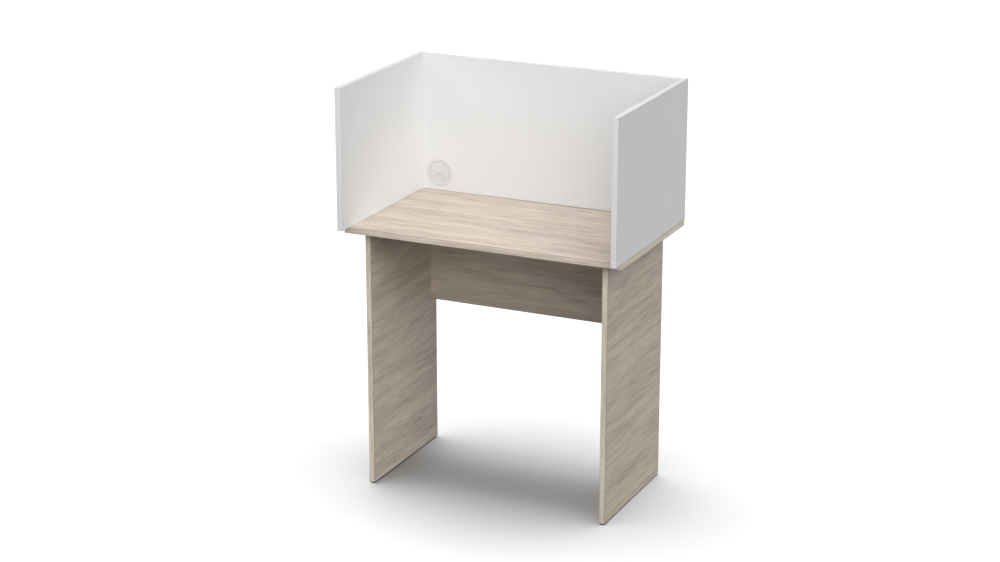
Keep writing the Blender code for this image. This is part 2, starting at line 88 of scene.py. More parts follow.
# Where each board's and band's middle lies on the ash print: along the grain and across it
PRINT_PLACES = {
    "desktop": (6.95, 5.00),
    "desktop_edge_front": (1.3, 2.05),
    "desktop_edge_rear": (2.9, 2.35),
    "desktop_edge_left": (3.7, 2.65),
    "desktop_edge_right": (3.7, 2.65),
    "left_leg": (8.70, -3.62),
    "left_leg_edge_front": (4.4, 2.55),
    "left_leg_edge_rear": (6.1, 2.45),
    "right_leg": (8.70, 3.62),
    "right_leg_edge_front": (4.4, 3.35),
    "right_leg_edge_rear": (6.1, 3.45),
    "modesty_panel": (12.90, 6.60),
    "modesty_panel_edge": (7.3, 3.75),
}
THROUGH = 60.0  # how fast the ash print changes away from its face

# Studio
SURROUNDINGS = 0.72  # the strength of the white that glossy faces mirror
SPREAD = 60  # degrees, for every lamp
CARREL_LAMPS = (  # name, strength, elevation, azimuth, and whether glossy faces mirror it
    ("front", 0.20, 10, 0, True),
    ("front_left", 1.22, 45, -45, True),
    ("front_right", 1.50, 45, 45, True),
    ("low_right", 1.25, 20, 45, True),
    ("high_right", 0.20, 70, 90, True),
    ("left", 0.35, 30, -90, True),
    ("behind", 1.35, 20, 180, False),
    ("from_floor", 0.06, -30, 0, True),
)
FLOOR_LAMP = ("overhead", 9.1, 85, -150, True)
DESK_LAMP = ("desk", 0.95, 70, 90, True)
FLOOR_RADIUS = 40
FLOOR_SIDES = 96
CAMERA_PLACE = (2.5424, -5.5498, 2.5451)
CAMERA_TILT = 72.242  # degrees up from straight down
CAMERA_TURN = 24.935  # degrees to the left of facing +Y
CAMERA_LENS = 84.085  # millimetres, on a sensor of this width
CAMERA_SENSOR = 36
CAMERA_REACH = 200  # metres


# Shapes


def axis_place(origin, axis):
    """A placing whose Z runs along axis."""
    return Matrix.Translation(origin) @ axis.to_track_quat("Z", "Y").to_matrix().to_4x4()


def face_place(origin, out, up):
    """A placing whose Z runs along out and whose Y runs along up."""
    turn = Matrix((up.cross(out), up, out)).transposed()
    return Matrix.Translation(origin) @ turn.to_4x4()


def arc(x, y, radius, start, steps=8, sweep=90):
    """Points on an arc about (x, y), from the angle start in degrees."""
    angles = [radians(start + sweep * step / steps) for step in range(steps + 1)]
    return [(x + radius * cos(angle), y + radius * sin(angle)) for angle in angles]


def add_loft(bm, loops, place=Matrix.Identity(4)):
    """A closed skin through rings of points, with a face over each end."""
    rings = [[bm.verts.new(place @ Vector(point)) for point in loop] for loop in loops]
    for ring, following in zip(rings, rings[1:]):
        for index, vert in enumerate(ring):
            after = (index + 1) % len(ring)
            bm.faces.new((vert, ring[after], following[after], following[index]))
    bm.faces.new(rings[0][::-1])
    bm.faces.new(rings[-1])


def add_prism(bm, outline, low, high, place=Matrix.Identity(4)):
    """A closed outline of (x, y) points, extruded along Z from low to high."""
    add_loft(bm, [[(x, y, z) for x, y in outline] for z in (low, high)], place)


def add_turned(bm, profile, sides, place=Matrix.Identity(4), ring=False):
    """A profile of (radius, height) points turned about Z. A ring's profile closes on itself."""
    older = set(bm.verts)
    points = [bm.verts.new((radius, 0, height)) for radius, height in profile]
    edges = [bm.edges.new(pair) for pair in zip(points, points[1:])]
    if ring:
        edges.append(bm.edges.new((points[-1], points[0])))
    bmesh.ops.spin(
        bm, geom=points + edges, cent=(0, 0, 0), axis=Z, angle=tau, steps=sides, use_merge=True
    )
    turned = [vert for vert in bm.verts if vert not in older]
    bmesh.ops.transform(bm, matrix=place, verts=turned)
    bmesh.ops.remove_doubles(bm, verts=turned, dist=MERGE)


def mesh_from(name, bm):
    """A mesh with its faces pointing out."""
    bmesh.ops.recalc_face_normals(bm, faces=bm.faces)
    mesh = bpy.data.meshes.new(name)
    bm.to_mesh(mesh)
    bm.free()
    return mesh


def link_object(name, mesh, place=Matrix.Identity(4)):
    """A new object in the scene."""
    obj = bpy.data.objects.new(name, mesh)
    obj.matrix_world = place
    bpy.context.scene.collection.objects.link(obj)
    return obj


def subtract(mesh, cutters):
    """The mesh with each cutter's volume taken out, one after the other."""
    obj = link_object("uncut", mesh)
    used = [obj]
    for bm in cutters:
        cutter = link_object("cutter", mesh_from("cutter", bm))
        modifier = obj.modifiers.new("cut", "BOOLEAN")
        modifier.operation = "DIFFERENCE"
        modifier.solver = "EXACT"
        modifier.object = cutter
        used.append(cutter)
    bpy.context.view_layer.update()
    graph = bpy.context.evaluated_depsgraph_get()
    result = bpy.data.meshes.new_from_object(obj.evaluated_get(graph))
    for spent in used:
        bpy.data.objects.remove(spent)
    return result


def dress(mesh, angle, *materials):
    """Gives a mesh its materials, and smooth shading that breaks at edges sharper than angle."""
    mesh.materials.clear()
    for material in materials:
        mesh.materials.append(material)
    mesh.shade_smooth()
    mesh.set_sharp_from_angle(angle=radians(angle))


def set_values(mesh, name, kind, values):
    """A value for each of the mesh's vertices, for its material to read."""
    attribute = mesh.attributes.new(name, kind, "POINT")
    field = "vector" if kind == "FLOAT_VECTOR" else "value"
    attribute.data.foreach_set(field, np.asarray(values, np.float32).ravel())


def vertices(mesh):
    """The mesh's vertices as rows of X, Y and Z."""
    points = np.zeros(len(mesh.vertices) * 3)
    mesh.vertices.foreach_get("co", points)
    return points.reshape(-1, 3)


def set_grain(mesh, along, across, middle, print_place=(0, 0)):
    """Where each vertex lies on the board's print: along the grain, across it, and off the middle."""
    out = Vector(along).cross(Vector(across))
    axes = np.array([along, across, out])
    places = (vertices(mesh) - np.array(middle)) @ axes.T
    set_values(mesh, "grain", "FLOAT_VECTOR", places + np.array([*print_place, 0]))


def settle(obj, node, body=BODY):
    """Lets a piece stand for its node on its body."""
    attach(obj, body)
    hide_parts(node)


# Materials


class Finish:
    """One material, and short forms for building its nodes."""

    def __init__(self, name, metallic=0.0, specular=0.5):
        self.material = bpy.data.materials.new(name)
        self.material.use_nodes = True
        self.tree = self.material.node_tree
        self.shader = self.tree.nodes["Principled BSDF"]
        self.shader.inputs["Metallic"].default_value = metallic
        self.shader.inputs["Specular IOR Level"].default_value = specular

    def add(self, kind, inputs, **settings):
        """A node. Each input is a plain value or another node's socket."""
        node = self.tree.nodes.new(kind)
        for name, value in settings.items():
            setattr(node, name, value)
        for name, value in inputs.items():
            if isinstance(value, bpy.types.NodeSocket):
                self.tree.links.new(value, node.inputs[name])
            else:
                node.inputs[name].default_value = value
        return node

    def attribute(self, name):
        """A value or vector that the mesh carries."""
        node = self.add("ShaderNodeAttribute", {}, attribute_name=name)
        return node.outputs["Vector" if name == "grain" else "Fac"]

    def place(self):
        """The place on the piece's own body."""
        return self.add("ShaderNodeTexCoord", {}).outputs["Object"]

    def sum(self, *terms):
        """Each (socket, factor) pair multiplied, and all added together."""
        total = 0.0
        for socket, factor in terms:
            inputs = {0: socket, 1: factor, 2: total}
            total = self.add("ShaderNodeMath", inputs, operation="MULTIPLY_ADD").outputs[0]
        return total

    def times(self, first, second):
        """Two values multiplied."""
        return self.add("ShaderNodeMath", {0: first, 1: second}, operation="MULTIPLY").outputs[0]

    def stretch(self, vector, scale):
        """A vector multiplied, axis by axis."""
        inputs = {0: vector, 1: scale}
        return self.add("ShaderNodeVectorMath", inputs, operation="MULTIPLY").outputs[0]

    def shift(self, vector, across):
        """A vector moved along its second axis by a value."""
        move = self.add("ShaderNodeCombineXYZ", {1: across}).outputs[0]
        return self.add("ShaderNodeVectorMath", {0: vector, 1: move}, operation="ADD").outputs[0]

    def noise(self, vector, scale, detail=2.0, roughness=0.5):
        """Noise between 0 and 1, with features about 1 / scale metres apart."""
        inputs = {
            "Vector": self.stretch(vector, scale),
            "Scale": 1.0,
            "Detail": detail,
            "Roughness": roughness,
        }
        return self.add("ShaderNodeTexNoise", inputs).outputs["Fac"]

    def remap(self, value, low, high, to_low=0.0, to_high=1.0):
        """A value moved from one range to another, and held inside it."""
        inputs = {
            "Value": value,
            "From Min": low,
            "From Max": high,
            "To Min": to_low,
            "To Max": to_high,
        }
        return self.add("ShaderNodeMapRange", inputs).outputs["Result"]

    def mix(self, factor, first, second):
        """Two colours mixed."""
        inputs = {"Factor": factor, "A": colour(first), "B": colour(second)}
        node = self.tree.nodes.new("ShaderNodeMix")
        node.data_type = "RGBA"
        for name, value in inputs.items():
            socket = next(s for s in node.inputs if s.name == name and s.enabled)
            if isinstance(value, bpy.types.NodeSocket):
                self.tree.links.new(value, socket)
            else:
                socket.default_value = value
        return next(s for s in node.outputs if s.enabled)

    def done(self, base, roughness, height, depth):
        """Links the look to the shader. Depth is the relief, in metres, of a height of one."""
        bump = self.add("ShaderNodeBump", {"Height": height, "Distance": depth, "Strength": 1.0})
        self.tree.links.new(base, self.shader.inputs["Base Color"])
        self.tree.links.new(roughness, self.shader.inputs["Roughness"])
        self.tree.links.new(bump.outputs["Normal"], self.shader.inputs["Normal"])
        return self.material


def colour(value):
    """A colour as a socket, or with its alpha."""
    return value if isinstance(value, bpy.types.NodeSocket) else (*value, 1.0)


def ash_print(name, light, middle, dark, gloss, core=None):
    """Printed ash: broad bands, finer streaks, short dark streaks and pores, on matt melamine.

    A core colour shows where an edge band's arris is routed through the print. On the ash band it is
    darker than a routed core alone, as painted shade in the joint between band and board.
    """
    finish = Finish(name)
    grain = finish.attribute("grain")
    slow = finish.noise(grain, (1.6, 5.0, THROUGH), 2.0)
    quick = finish.noise(grain, (7.0, 22.0, THROUGH), 1.0)
    wave = finish.sum((slow, 0.024), (quick, 0.006))
    waved = finish.shift(grain, wave)

    bands = finish.noise(waved, (2.8, 38.0, THROUGH), 3.0, 0.55)
    streaks = finish.noise(waved, (11.0, 150.0, THROUGH), 3.0, 0.6)
    fibres = finish.noise(waved, (28.0, 620.0, THROUGH), 2.0, 0.6)
    lines = finish.noise(waved, (13.0, 120.0, THROUGH), 3.0, 0.55)
    pores = finish.noise(waved, (70.0, 1500.0, THROUGH), 1.0, 0.5)

    tone = finish.sum((bands, 1.00), (streaks, 1.00), (fibres, 0.40))
    body = finish.mix(finish.remap(tone, 1.00, 1.40), light, middle)
    sharp = finish.remap(lines, 0.57, 0.76)
    line = finish.times(sharp, finish.remap(bands, 0.38, 0.60, 0.26, 0.84))
    lined = finish.mix(line, body, dark)
    pore = finish.remap(pores, 0.66, 0.78, 0.0, 0.30)
    look = finish.mix(pore, lined, dark)
    if core:
        look = finish.mix(finish.attribute("core"), look, core)

    roughness = finish.sum((fibres, 0.12), (streaks, 0.08), (pore, 0.30))
    roughness = finish.remap(roughness, 0.0, 0.3, gloss - 0.05, gloss + 0.08)
    height = finish.sum((fibres, 0.5), (streaks, 0.3), (pore, -1.0), (line, -0.3))
    return finish.done(look, roughness, height, depth=0.00006)


def white_melamine(name, base, shade, gloss, core=None):
    """White melamine: a fine pearl texture, with the faintest unevenness."""
    finish = Finish(name)
    place = finish.place()
    pearl = finish.noise(place, (750.0,) * 3, 2.0, 0.6)
    cloud = finish.noise(place, (7.0,) * 3, 3.0)
    wiped = finish.noise(place, (3.0, 3.0, 22.0), 2.0)
    tone = finish.sum((cloud, 0.7), (pearl, 0.3))
    look = finish.mix(finish.remap(tone, 0.3, 0.7), base, shade)
    if core:
        look = finish.mix(finish.attribute("core"), look, core)
    roughness = finish.sum((pearl, 0.10), (wiped, 0.12))
    roughness = finish.remap(roughness, 0.0, 0.22, gloss - 0.07, gloss + 0.07)
    return finish.done(look, roughness, pearl, depth=0.00003)


def chipboard():
    """Chipboard: flat flakes in the core and fine dust towards the faces."""
    finish = Finish("chipboard", specular=0.3)
    grain = finish.attribute("grain")
    place = finish.place()
    depth = finish.add("ShaderNodeSeparateXYZ", {0: grain}).outputs[2]
    depth = finish.add("ShaderNodeMath", {0: depth}, operation="ABSOLUTE").outputs[0]
    coarse = finish.add(
        "ShaderNodeTexVoronoi", {"Vector": finish.stretch(place, (260.0,) * 3), "Scale": 1.0}
    )
    fine = finish.noise(place, (1400.0,) * 3, 3.0, 0.7)
    flake = finish.add("ShaderNodeSeparateColor", {0: coarse.outputs["Color"]}).outputs[0]
    near = finish.remap(depth, 0.0035, 0.0065)
    core = finish.mix(flake, (0.30, 0.20, 0.115), (0.66, 0.51, 0.34))
    dust = finish.mix(fine, (0.40, 0.29, 0.18), (0.62, 0.49, 0.34))
    look = finish.mix(near, core, dust)
    cracks = finish.remap(coarse.outputs["Distance"], 0.0, 0.7)
    height = finish.sum((cracks, 0.7), (fine, 0.3))
    roughness = finish.remap(fine, 0.2, 0.8, 0.78, 0.95)
    return finish.done(look, roughness, height, depth=0.0002)


def moulded(name, base, shade, gloss, spark):
    """Moulded plastic with a spark-eroded texture."""
    finish = Finish(name)
    place = finish.place()
    spots = finish.noise(place, (spark,) * 3, 3.0, 0.65)
    cloud = finish.noise(place, (35.0,) * 3, 2.0)
    look = finish.mix(finish.sum((cloud, 0.6), (spots, 0.4)), base, shade)
    roughness = finish.remap(spots, 0.3, 0.7, gloss - 0.06, gloss + 0.08)
    return finish.done(look, roughness, spots, depth=0.00004)


def cast_zinc():
    """Die-cast zinc: dull grey, faintly clouded and pitted."""
    finish = Finish("cast_zinc", metallic=1.0)
    place = finish.place()
    cloud = finish.noise(place, (220.0,) * 3, 4.0, 0.6)
    pits = finish.noise(place, (1800.0,) * 3, 2.0, 0.6)
    look = finish.mix(cloud, (0.40, 0.41, 0.43), (0.62, 0.62, 0.63))
    roughness = finish.remap(cloud, 0.3, 0.7, 0.34, 0.52)
    height = finish.sum((pits, 0.6), (cloud, 0.4))
    return finish.done(look, roughness, height, depth=0.00008)


def plated_steel():
    """Zinc-plated steel: bright, slightly yellow, with fine turning marks."""
    finish = Finish("plated_steel", metallic=1.0)
    place = finish.place()
    cloud = finish.noise(place, (160.0,) * 3, 3.0)
    marks = finish.noise(place, (900.0,) * 3, 3.0, 0.7)
    look = finish.mix(cloud, (0.60, 0.58, 0.50), (0.74, 0.73, 0.69))
    roughness = finish.remap(finish.sum((cloud, 0.5), (marks, 0.5)), 0.3, 0.7, 0.20, 0.38)
    return finish.done(look, roughness, marks, depth=0.00002)


def turned_beech():
    """Beech with short dark flecks along its grain."""
    finish = Finish("beech", specular=0.3)
    grain = finish.attribute("grain")
    rings = finish.noise(grain, (40.0, 420.0, 420.0), 3.0, 0.55)
    flecks = finish.noise(grain, (260.0, 2600.0, 2600.0), 1.0)
    wood = finish.mix(finish.remap(rings, 0.3, 0.7), (0.63, 0.43, 0.27), (0.50, 0.32, 0.19))
    fleck = finish.remap(flecks, 0.62, 0.74, 0.0, 0.6)
    look = finish.mix(fleck, wood, (0.30, 0.17, 0.09))
    roughness = finish.remap(rings, 0.3, 0.7, 0.62, 0.78)
    height = finish.sum((rings, 0.6), (fleck, -0.6))
    return finish.done(look, roughness, height, depth=0.00008)


def make_finishes():
    """Every finish, by the name of its slot in the record, and the chipboard under the print."""
    ash = ((0.630, 0.541, 0.455), (0.457, 0.389, 0.323), (0.266, 0.219, 0.179))
    ash_band = ((0.725, 0.637, 0.536), (0.558, 0.478, 0.394), (0.342, 0.280, 0.224))
    # the routed core of the ash band, made darker as painted shade in the band's joint
    ash_core_and_joint_shade = (0.23, 0.18, 0.14)
    white = ((0.796, 0.800, 0.802), (0.781, 0.785, 0.787))
    white_core = (0.74,) * 3
    pale_grey = ((0.715, 0.716, 0.720), (0.680, 0.681, 0.685))
    black = ((0.018,) * 3, (0.030,) * 3)
    return {
        "ash_laminate": ash_print("ash_laminate_fine", *ash, gloss=0.50),
        "ash_edging": ash_print("ash_edging_fine", *ash_band, gloss=0.44, core=ash_core_and_joint_shade),
        "white_laminate": white_melamine("white_laminate_fine", *white, gloss=0.42),
        "white_edging": white_melamine("white_edging_fine", *white, gloss=0.38, core=white_core),
        "port_plastic": moulded("port_plastic_fine", *pale_grey, gloss=0.42, spark=900.0),
        "glide_plastic": moulded("glide_plastic_fine", *black, gloss=0.48, spark=1200.0),
        "cam_zinc": cast_zinc(),
        "plated_steel": plated_steel(),
        "beech": turned_beech(),
        "chipboard": chipboard(),
    }


# Boards


def add_hole(bm, node, axis, radius, before=0.0, after=0.0, sides=SMALL):
    """A round cutter along a node's box, reaching past its low and high ends."""
    low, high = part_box(node)
    middle = (low + high) / 2
    half = (high - low).dot(axis) / 2
    profile = [(0, -half - before), (radius, -half - before), (radius, half + after), (0, half + after)]
    add_turned(bm, profile, sides, axis_place(middle, axis))


def node_radius(node, axis):
    """Half of a round node's width across its axis."""
    low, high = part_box(node)
    across = Y if abs(axis.dot(Y)) < 0.5 else Z
    return (high - low).dot(across) / 2


def fittings(joint, hands=HANDS):
    """The cam bolts of a joint, on the given hands."""
    rows = ENDS if joint == "leg" else ROWS
    return [f"{hand}_{joint}_bolt_{row}" for hand in hands for row in rows]


def bolt_holes(bolts, axis, slack, after=0.0):
    """Bores for cam bolts, longer by after at their high ends."""
    bm = bmesh.new()
    for bolt in bolts:
        add_hole(bm, bolt, axis, node_radius(bolt, axis) + slack, 0, after)
    return bm


def thread_holes(bm, bolts, axis):
    """Bores that the cam bolts' threads are driven into, added to others."""
    for bolt in bolts:
        add_hole(bm, bolt, axis, node_radius(bolt, axis) + PILOT_SLACK, OPEN / 2, OPEN / 2)


def dowel_holes(bm, joint, axis, hands=HANDS):
    """Bores for the dowels of a joint, on the given hands, added to others."""
    for hand in hands:
        dowel = f"{hand}_{joint}_dowel"
        add_hole(bm, dowel, axis, node_radius(dowel, axis) + DOWEL_SLACK, DOWEL_SLACK, DOWEL_SLACK)


def pockets(bolts, axis, opens_high):
    """Pockets for the cams that go with these bolts."""
    bm = bmesh.new()
    for bolt in bolts:
        cam = bolt.replace("bolt", "cam")
        radius = node_radius(cam, axis) + POCKET_SLACK
        ends = (PILOT_SLACK, OPEN) if opens_high else (OPEN, PILOT_SLACK)
        add_hole(bm, cam, axis, radius, *ends, sides=MEDIUM)
    return bm


def screw_holes(bm, hands):
    """Bores for the screws that come up into the side screens, added to others."""
    for hand in hands:
        for end in ENDS:
            add_hole(bm, f"{hand}_screen_screw_{end}", Z, SCREW_BORE, OPEN, OPEN)


def screw_seats():
    """The wider seats for those screws' heads, in the desktop's underside."""
    bm = bmesh.new()
    for hand in HANDS:
        for end in ENDS:
            low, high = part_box(f"{hand}_screen_screw_{end}")
            foot = Vector(((low.x + high.x) / 2, (low.y + high.y) / 2, low.z - GAP))
            profile = [
                (0, -OPEN),
                (SCREW_SEAT, -OPEN),
                (SCREW_SEAT, SCREW_SEAT_DEPTH),
                (0, SCREW_SEAT_DEPTH),
            ]
            add_turned(bm, profile, MEDIUM, Matrix.Translation(foot))
    return bm


def make_board(node, cutters, along, across, finishes, slot):
    """A board with its bores: print on its two faces and chipboard everywhere else."""
    low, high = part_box(node)
    middle = (low + high) / 2
    half = (high - low) / 2
    corners = ((-half.x, -half.y), (half.x, -half.y), (half.x, half.y), (-half.x, half.y))
    bm = bmesh.new()
    add_prism(bm, corners, -half.z, half.z, Matrix.Translation(middle))
    mesh = subtract(mesh_from(node, bm), cutters)
    dress(mesh, 30, finishes[slot], finishes["chipboard"])
    out = Vector(along).cross(Vector(across))
    face_off = abs(half.dot(out))
    for face in mesh.polygons:
        off = abs((face.center - middle).dot(out))
        on_face = abs(face.normal.dot(out)) > SQUARE and abs(off - face_off) < NEAR
        face.material_index = 0 if on_face else 1
    set_grain(mesh, along, across, middle, PRINT_PLACES.get(node, (0, 0)))
    settle(link_object(f"{node}_fine", mesh), node)


def make_leg(hand, side, finishes):
    """A leg, bored for the desktop above it, the modesty panel beside it and its glides."""
    bores = bolt_holes(fittings("leg", [hand]), Z, BORE_SLACK, BORE_SLACK)
    dowel_holes(bores, "leg", Z, [hand])
    thread_holes(bores, fittings("panel", [hand]), X)
    dowel_holes(bores, "panel", X, [hand])
    for end in ENDS:
        add_hole(bores, f"{hand}_glide_{end}", Z, NAIL_BORE, 0, DOWEL_SLACK)
    cuts = [bores, pockets(fittings("leg", [hand]), X, side < 0)]
    make_board(f"{hand}_leg", cuts, Y, Z, finishes, "ash_laminate")


def make_side_screen(hand, finishes):
    """A side screen, bored for the back screen beside it and the desktop's screws."""
    bores = bmesh.new()
    thread_holes(bores, fittings("screen", [hand]), X)
    dowel_holes(bores, "screen", X, [hand])
    screw_holes(bores, [hand])
    make_board(f"{hand}_screen", [bores], Y, Z, finishes, "white_laminate")


def cross_cuts(joint):
    """What is cut from a board that stands between two others and holds its cams at its rear."""
    bores = bolt_holes(fittings(joint), X, BORE_SLACK)
    dowel_holes(bores, joint, X)
    return [bores, pockets(fittings(joint), Y, True)]


def make_boards(finishes):
    """The seven boards."""
    bores = bolt_holes(fittings("leg"), Z, -PILOT_SLACK, BORE_SLACK)
    dowel_holes(bores, "leg", Z)
    screw_holes(bores, HANDS)
    make_board("desktop", [bores, screw_seats()], X, Y, finishes, "ash_laminate")

    for hand, side in HANDS.items():
        make_leg(hand, side, finishes)
        make_side_screen(hand, finishes)

    make_board("modesty_panel", cross_cuts("panel"), X, Z, finishes, "ash_laminate")

    port = bmesh.new()
    add_hole(port, "port_sleeve", Y, PORT_HOLE, OPEN, 2 * OPEN, FINE)
    make_board("back_screen", cross_cuts("screen") + [port], X, Z, finishes, "white_laminate")


# Edge bands


def band_outline(width, depth):
    """A band's section as (across, outward) points, with its outer face at zero."""
    half = width / 2
    outline = [(GLUE - half, -depth), (half - GLUE, -depth), (half, GLUE - depth)]
    outline += arc(half - ARRIS, -ARRIS, ARRIS, 0)
    outline += arc(ARRIS - half, -ARRIS, ARRIS, 90)
    outline.append((-half, GLUE - depth))
    return outline


def make_band(name, node, low, high, along, out, finishes, slot, cutters=()):
    """An edge band filling a box, with rounded arrises and eased ends."""
    middle = (low + high) / 2
    size = high - low
    length = abs(size.dot(along))
    depth = abs(size.dot(out))
    across = out.cross(along)
    width = abs(size.dot(across))
    place = face_place(middle + out * depth / 2, along, out)
    bm = bmesh.new()
    add_prism(bm, band_outline(width, depth), -length / 2, length / 2)
    ends = [edge for edge in bm.edges if abs(edge.verts[0].co.z - edge.verts[1].co.z) < NEAR]
    bmesh.ops.bevel(bm, geom=ends, offset=END_EASE, segments=2, profile=0.5, affect="EDGES")
    # How far each point lies into the arris, where the core colour shows. On ash bands this is partly the
    # routed core and partly painted shade of the joint.
    core = [max(0.0, 1 - (width / 2 - abs(vert.co.x)) / ARRIS) ** 0.5 for vert in bm.verts]
    mesh = mesh_from(name, bm)
    set_values(mesh, "core", "FLOAT", core)
    mesh.transform(place)
    if cutters:
        mesh = subtract(mesh, cutters)
    dress(mesh, 40, finishes[slot])
    set_grain(mesh, along, across, middle, PRINT_PLACES.get(node, (0, 0)))
    settle(link_object(name, mesh), node)


def node_band(node, along, out, finishes, slot, stretch=0.0):
    """Makes a node's band, carried in to its board and longer by stretch at each end."""
    low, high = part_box(node)
    inward = (GAP - GLUE) * out
    longer = Vector(map(abs, along)) * stretch
    low = Vector(map(min, low, low - inward)) - longer
    high = Vector(map(max, high, high - inward)) + longer
    make_band(f"{node}_fine", node, low, high, along, out, finishes, slot)


def make_bands(finishes):
    """Every edge band."""
    ash = (finishes, "ash_edging")
    white = (finishes, "white_edging")
    node_band("desktop_edge_front", X, -Y, *ash)
    node_band("desktop_edge_rear", X, Y, *ash)
    for hand, side in HANDS.items():
        node_band(f"desktop_edge_{hand}", Y, side * X, *ash, stretch=GAP - GLUE)
        node_band(f"{hand}_leg_edge_front", Z, -Y, *ash)
        node_band(f"{hand}_leg_edge_rear", Z, Y, *ash)
    node_band("modesty_panel_edge", X, -Z, *ash)
    node_band("back_screen_edge", X, Z, *white)
    for hand in HANDS:
        make_screen_bands(hand, white)


def make_screen_bands(hand, white):
    """A side screen's four strips: the uprights run full height, the others between them."""
    node = f"{hand}_screen_edging"
    low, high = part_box(node)
    board_low, board_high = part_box(f"{hand}_screen")
    inner_low = board_low - GLUE * Vector((0, 1, 1))
    inner_high = board_high + GLUE * Vector((0, 1, 1))
    front = (low, Vector((high.x, inner_low.y, high.z)))
    rear = (Vector((low.x, inner_high.y, low.z)), high)
    top = (Vector((low.x, board_low.y, inner_high.z)), Vector((high.x, board_high.y, high.z)))
    foot = (Vector((low.x, board_low.y, low.z)), Vector((high.x, board_high.y, inner_low.z)))
    bores = bmesh.new()
    screw_holes(bores, [hand])
    make_band(f"{node}_front", node, *front, Z, -Y, *white)
    make_band(f"{node}_rear", node, *rear, Z, Y, *white)
    make_band(f"{node}_top", node, *top, Y, Z, *white)
    make_band(f"{node}_foot", node, *foot, Y, -Z, *white, cutters=[bores])


# Cable port


def port_place():
    """The port's own placing, on the back screen's front face, with Z towards the sitter."""
    low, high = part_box("port_sleeve")
    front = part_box("back_screen")[0].y
    return face_place(Vector(((low.x + high.x) / 2, front, (low.z + high.z) / 2)), -Y, Z)


def make_port_sleeve(material):
    """The sleeve: a rounded flange, the cap's seat, and a tube with a groove for the cap's lip."""
    low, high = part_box("port_sleeve")
    cap_low, cap_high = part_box("port_cap")
    radius = (high.x - low.x) / 2
    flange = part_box("back_screen")[0].y - low.y
    tube_end = flange - (high.y - low.y)
    clearance = 0.0010
    seat_radius = (cap_high.x - cap_low.x) / 2 + clearance
    rounding = 0.0015
    ease = 0.0014
    chamfer = 0.0003
    seat = 0.0010
    outer = 0.0295
    inner = 0.0275
    groove = 0.0285
    groove_start = -0.0080
    profile = [(outer, GLUE), (radius, GLUE)]
    profile += arc(radius - rounding, flange - rounding, rounding, 0)
    profile += arc(seat_radius + ease, flange - ease, ease, 90, 6)
    profile += [
        (seat_radius, seat),
        (inner + chamfer, seat),
        (inner, seat - chamfer),
        (inner, groove_start),
        (groove, groove_start + inner - groove),
        (groove, tube_end + chamfer),
        (groove + chamfer, tube_end),
        (outer - chamfer, tube_end),
        (outer, tube_end + chamfer),
    ]
    bm = bmesh.new()
    add_turned(bm, profile, FINE, ring=True)
    mesh = mesh_from("port_sleeve", bm)
    mesh.transform(port_place())
    dress(mesh, 35, material)
    settle(link_object("port_sleeve_fine", mesh), "port_sleeve")


def arch_outline(half, top, foot):
    """A notch: straight sides from foot, under a round arch."""
    return [(-half, foot), (half, foot)] + arc(0, top, half, 0, SMALL, 180)


def make_port_cap(material):
    """The cap: a round-edged disc, a skirt with a snap lip, and a notch closed by a scored web."""
    low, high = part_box("port_cap")
    radius = (high.x - low.x) / 2
    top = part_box("back_screen")[0].y - low.y
    skirt_end = top - (high.y - low.y)
    under = 0.0013
    web_front = 0.0002
    inner = -0.0012
    rounding = 0.0011
    skirt_outer = 0.0270
    skirt_inner = 0.0252
    lip = 0.0278
    lip_levels = (0.0026, 0.0020, 0.0008)  # from the skirt's end: where the lip starts, is full, and thins
    lip_start, lip_full, lip_thin = (skirt_end + level for level in lip_levels)
    profile = [(0, top)]
    profile += arc(radius - rounding, top - rounding, rounding, 90, 8, -90)
    profile += [
        (radius, under),
        (skirt_outer, under),
        (skirt_outer, lip_start),
        (lip, lip_full),
        (lip, lip_thin),
        (skirt_outer, skirt_end),
        (skirt_inner, skirt_end),
        (skirt_inner, inner),
        (0, inner),
    ]
    bm = bmesh.new()
    add_turned(bm, profile, FINE)

    half = 0.0135
    arch_center = -0.0160
    past_rim = -0.05
    score = 0.0017
    score_depth = 0.0009
    flare = 0.0010
    edge = [
        (half - score, web_front),
        (half - score / 2, web_front - score_depth),
        (half, web_front),
        (half, top - flare),
    ]
    edge += [(half + flare - x, top - flare + y) for x, y in arc(0, 0, flare, 0)[1:]]
    edge.append((half + flare, top + flare))
    notch = bmesh.new()
    levels = [(arch_outline(width, arch_center, past_rim), z) for width, z in edge]
    add_loft(notch, [[(x, y, z) for x, y in outline] for outline, z in levels])
    mesh = subtract(mesh_from("port_cap", bm), [notch])
    mesh.transform(port_place())
    dress(mesh, 35, material)
    settle(link_object("port_cap_fine", mesh), "port_cap", body="cap")


# Fasteners and glides


def threaded(profile, pitch):
    """Rings for a turned shape; a profile point is (radius, height, depth of thread)."""
    steepness = 1.6
    loops = []
    for radius, height, depth in profile:
        loop = []
        for step in range(SMALL):
            turn = height / pitch - step / SMALL
            valley = min(1.0, steepness * abs(2 * (turn % 1.0) - 1))
            reach = radius - depth * valley
            angle = tau * step / SMALL
            loop.append((reach * cos(angle), reach * sin(angle), height))
        loops.append(loop)
    return loops


def thread_run(radius, low, high, depth, pitch, steps=8):
    """Profile points along a thread that runs in and out over its first and last turn."""
    count = round((high - low) / pitch * steps)
    run = []
    for step in range(count + 1):
        height = low + (high - low) * step / count
        fade = min(1.0, (height - low) / pitch, (high - height) / pitch)
        run.append((radius, height, depth * fade))
    return run


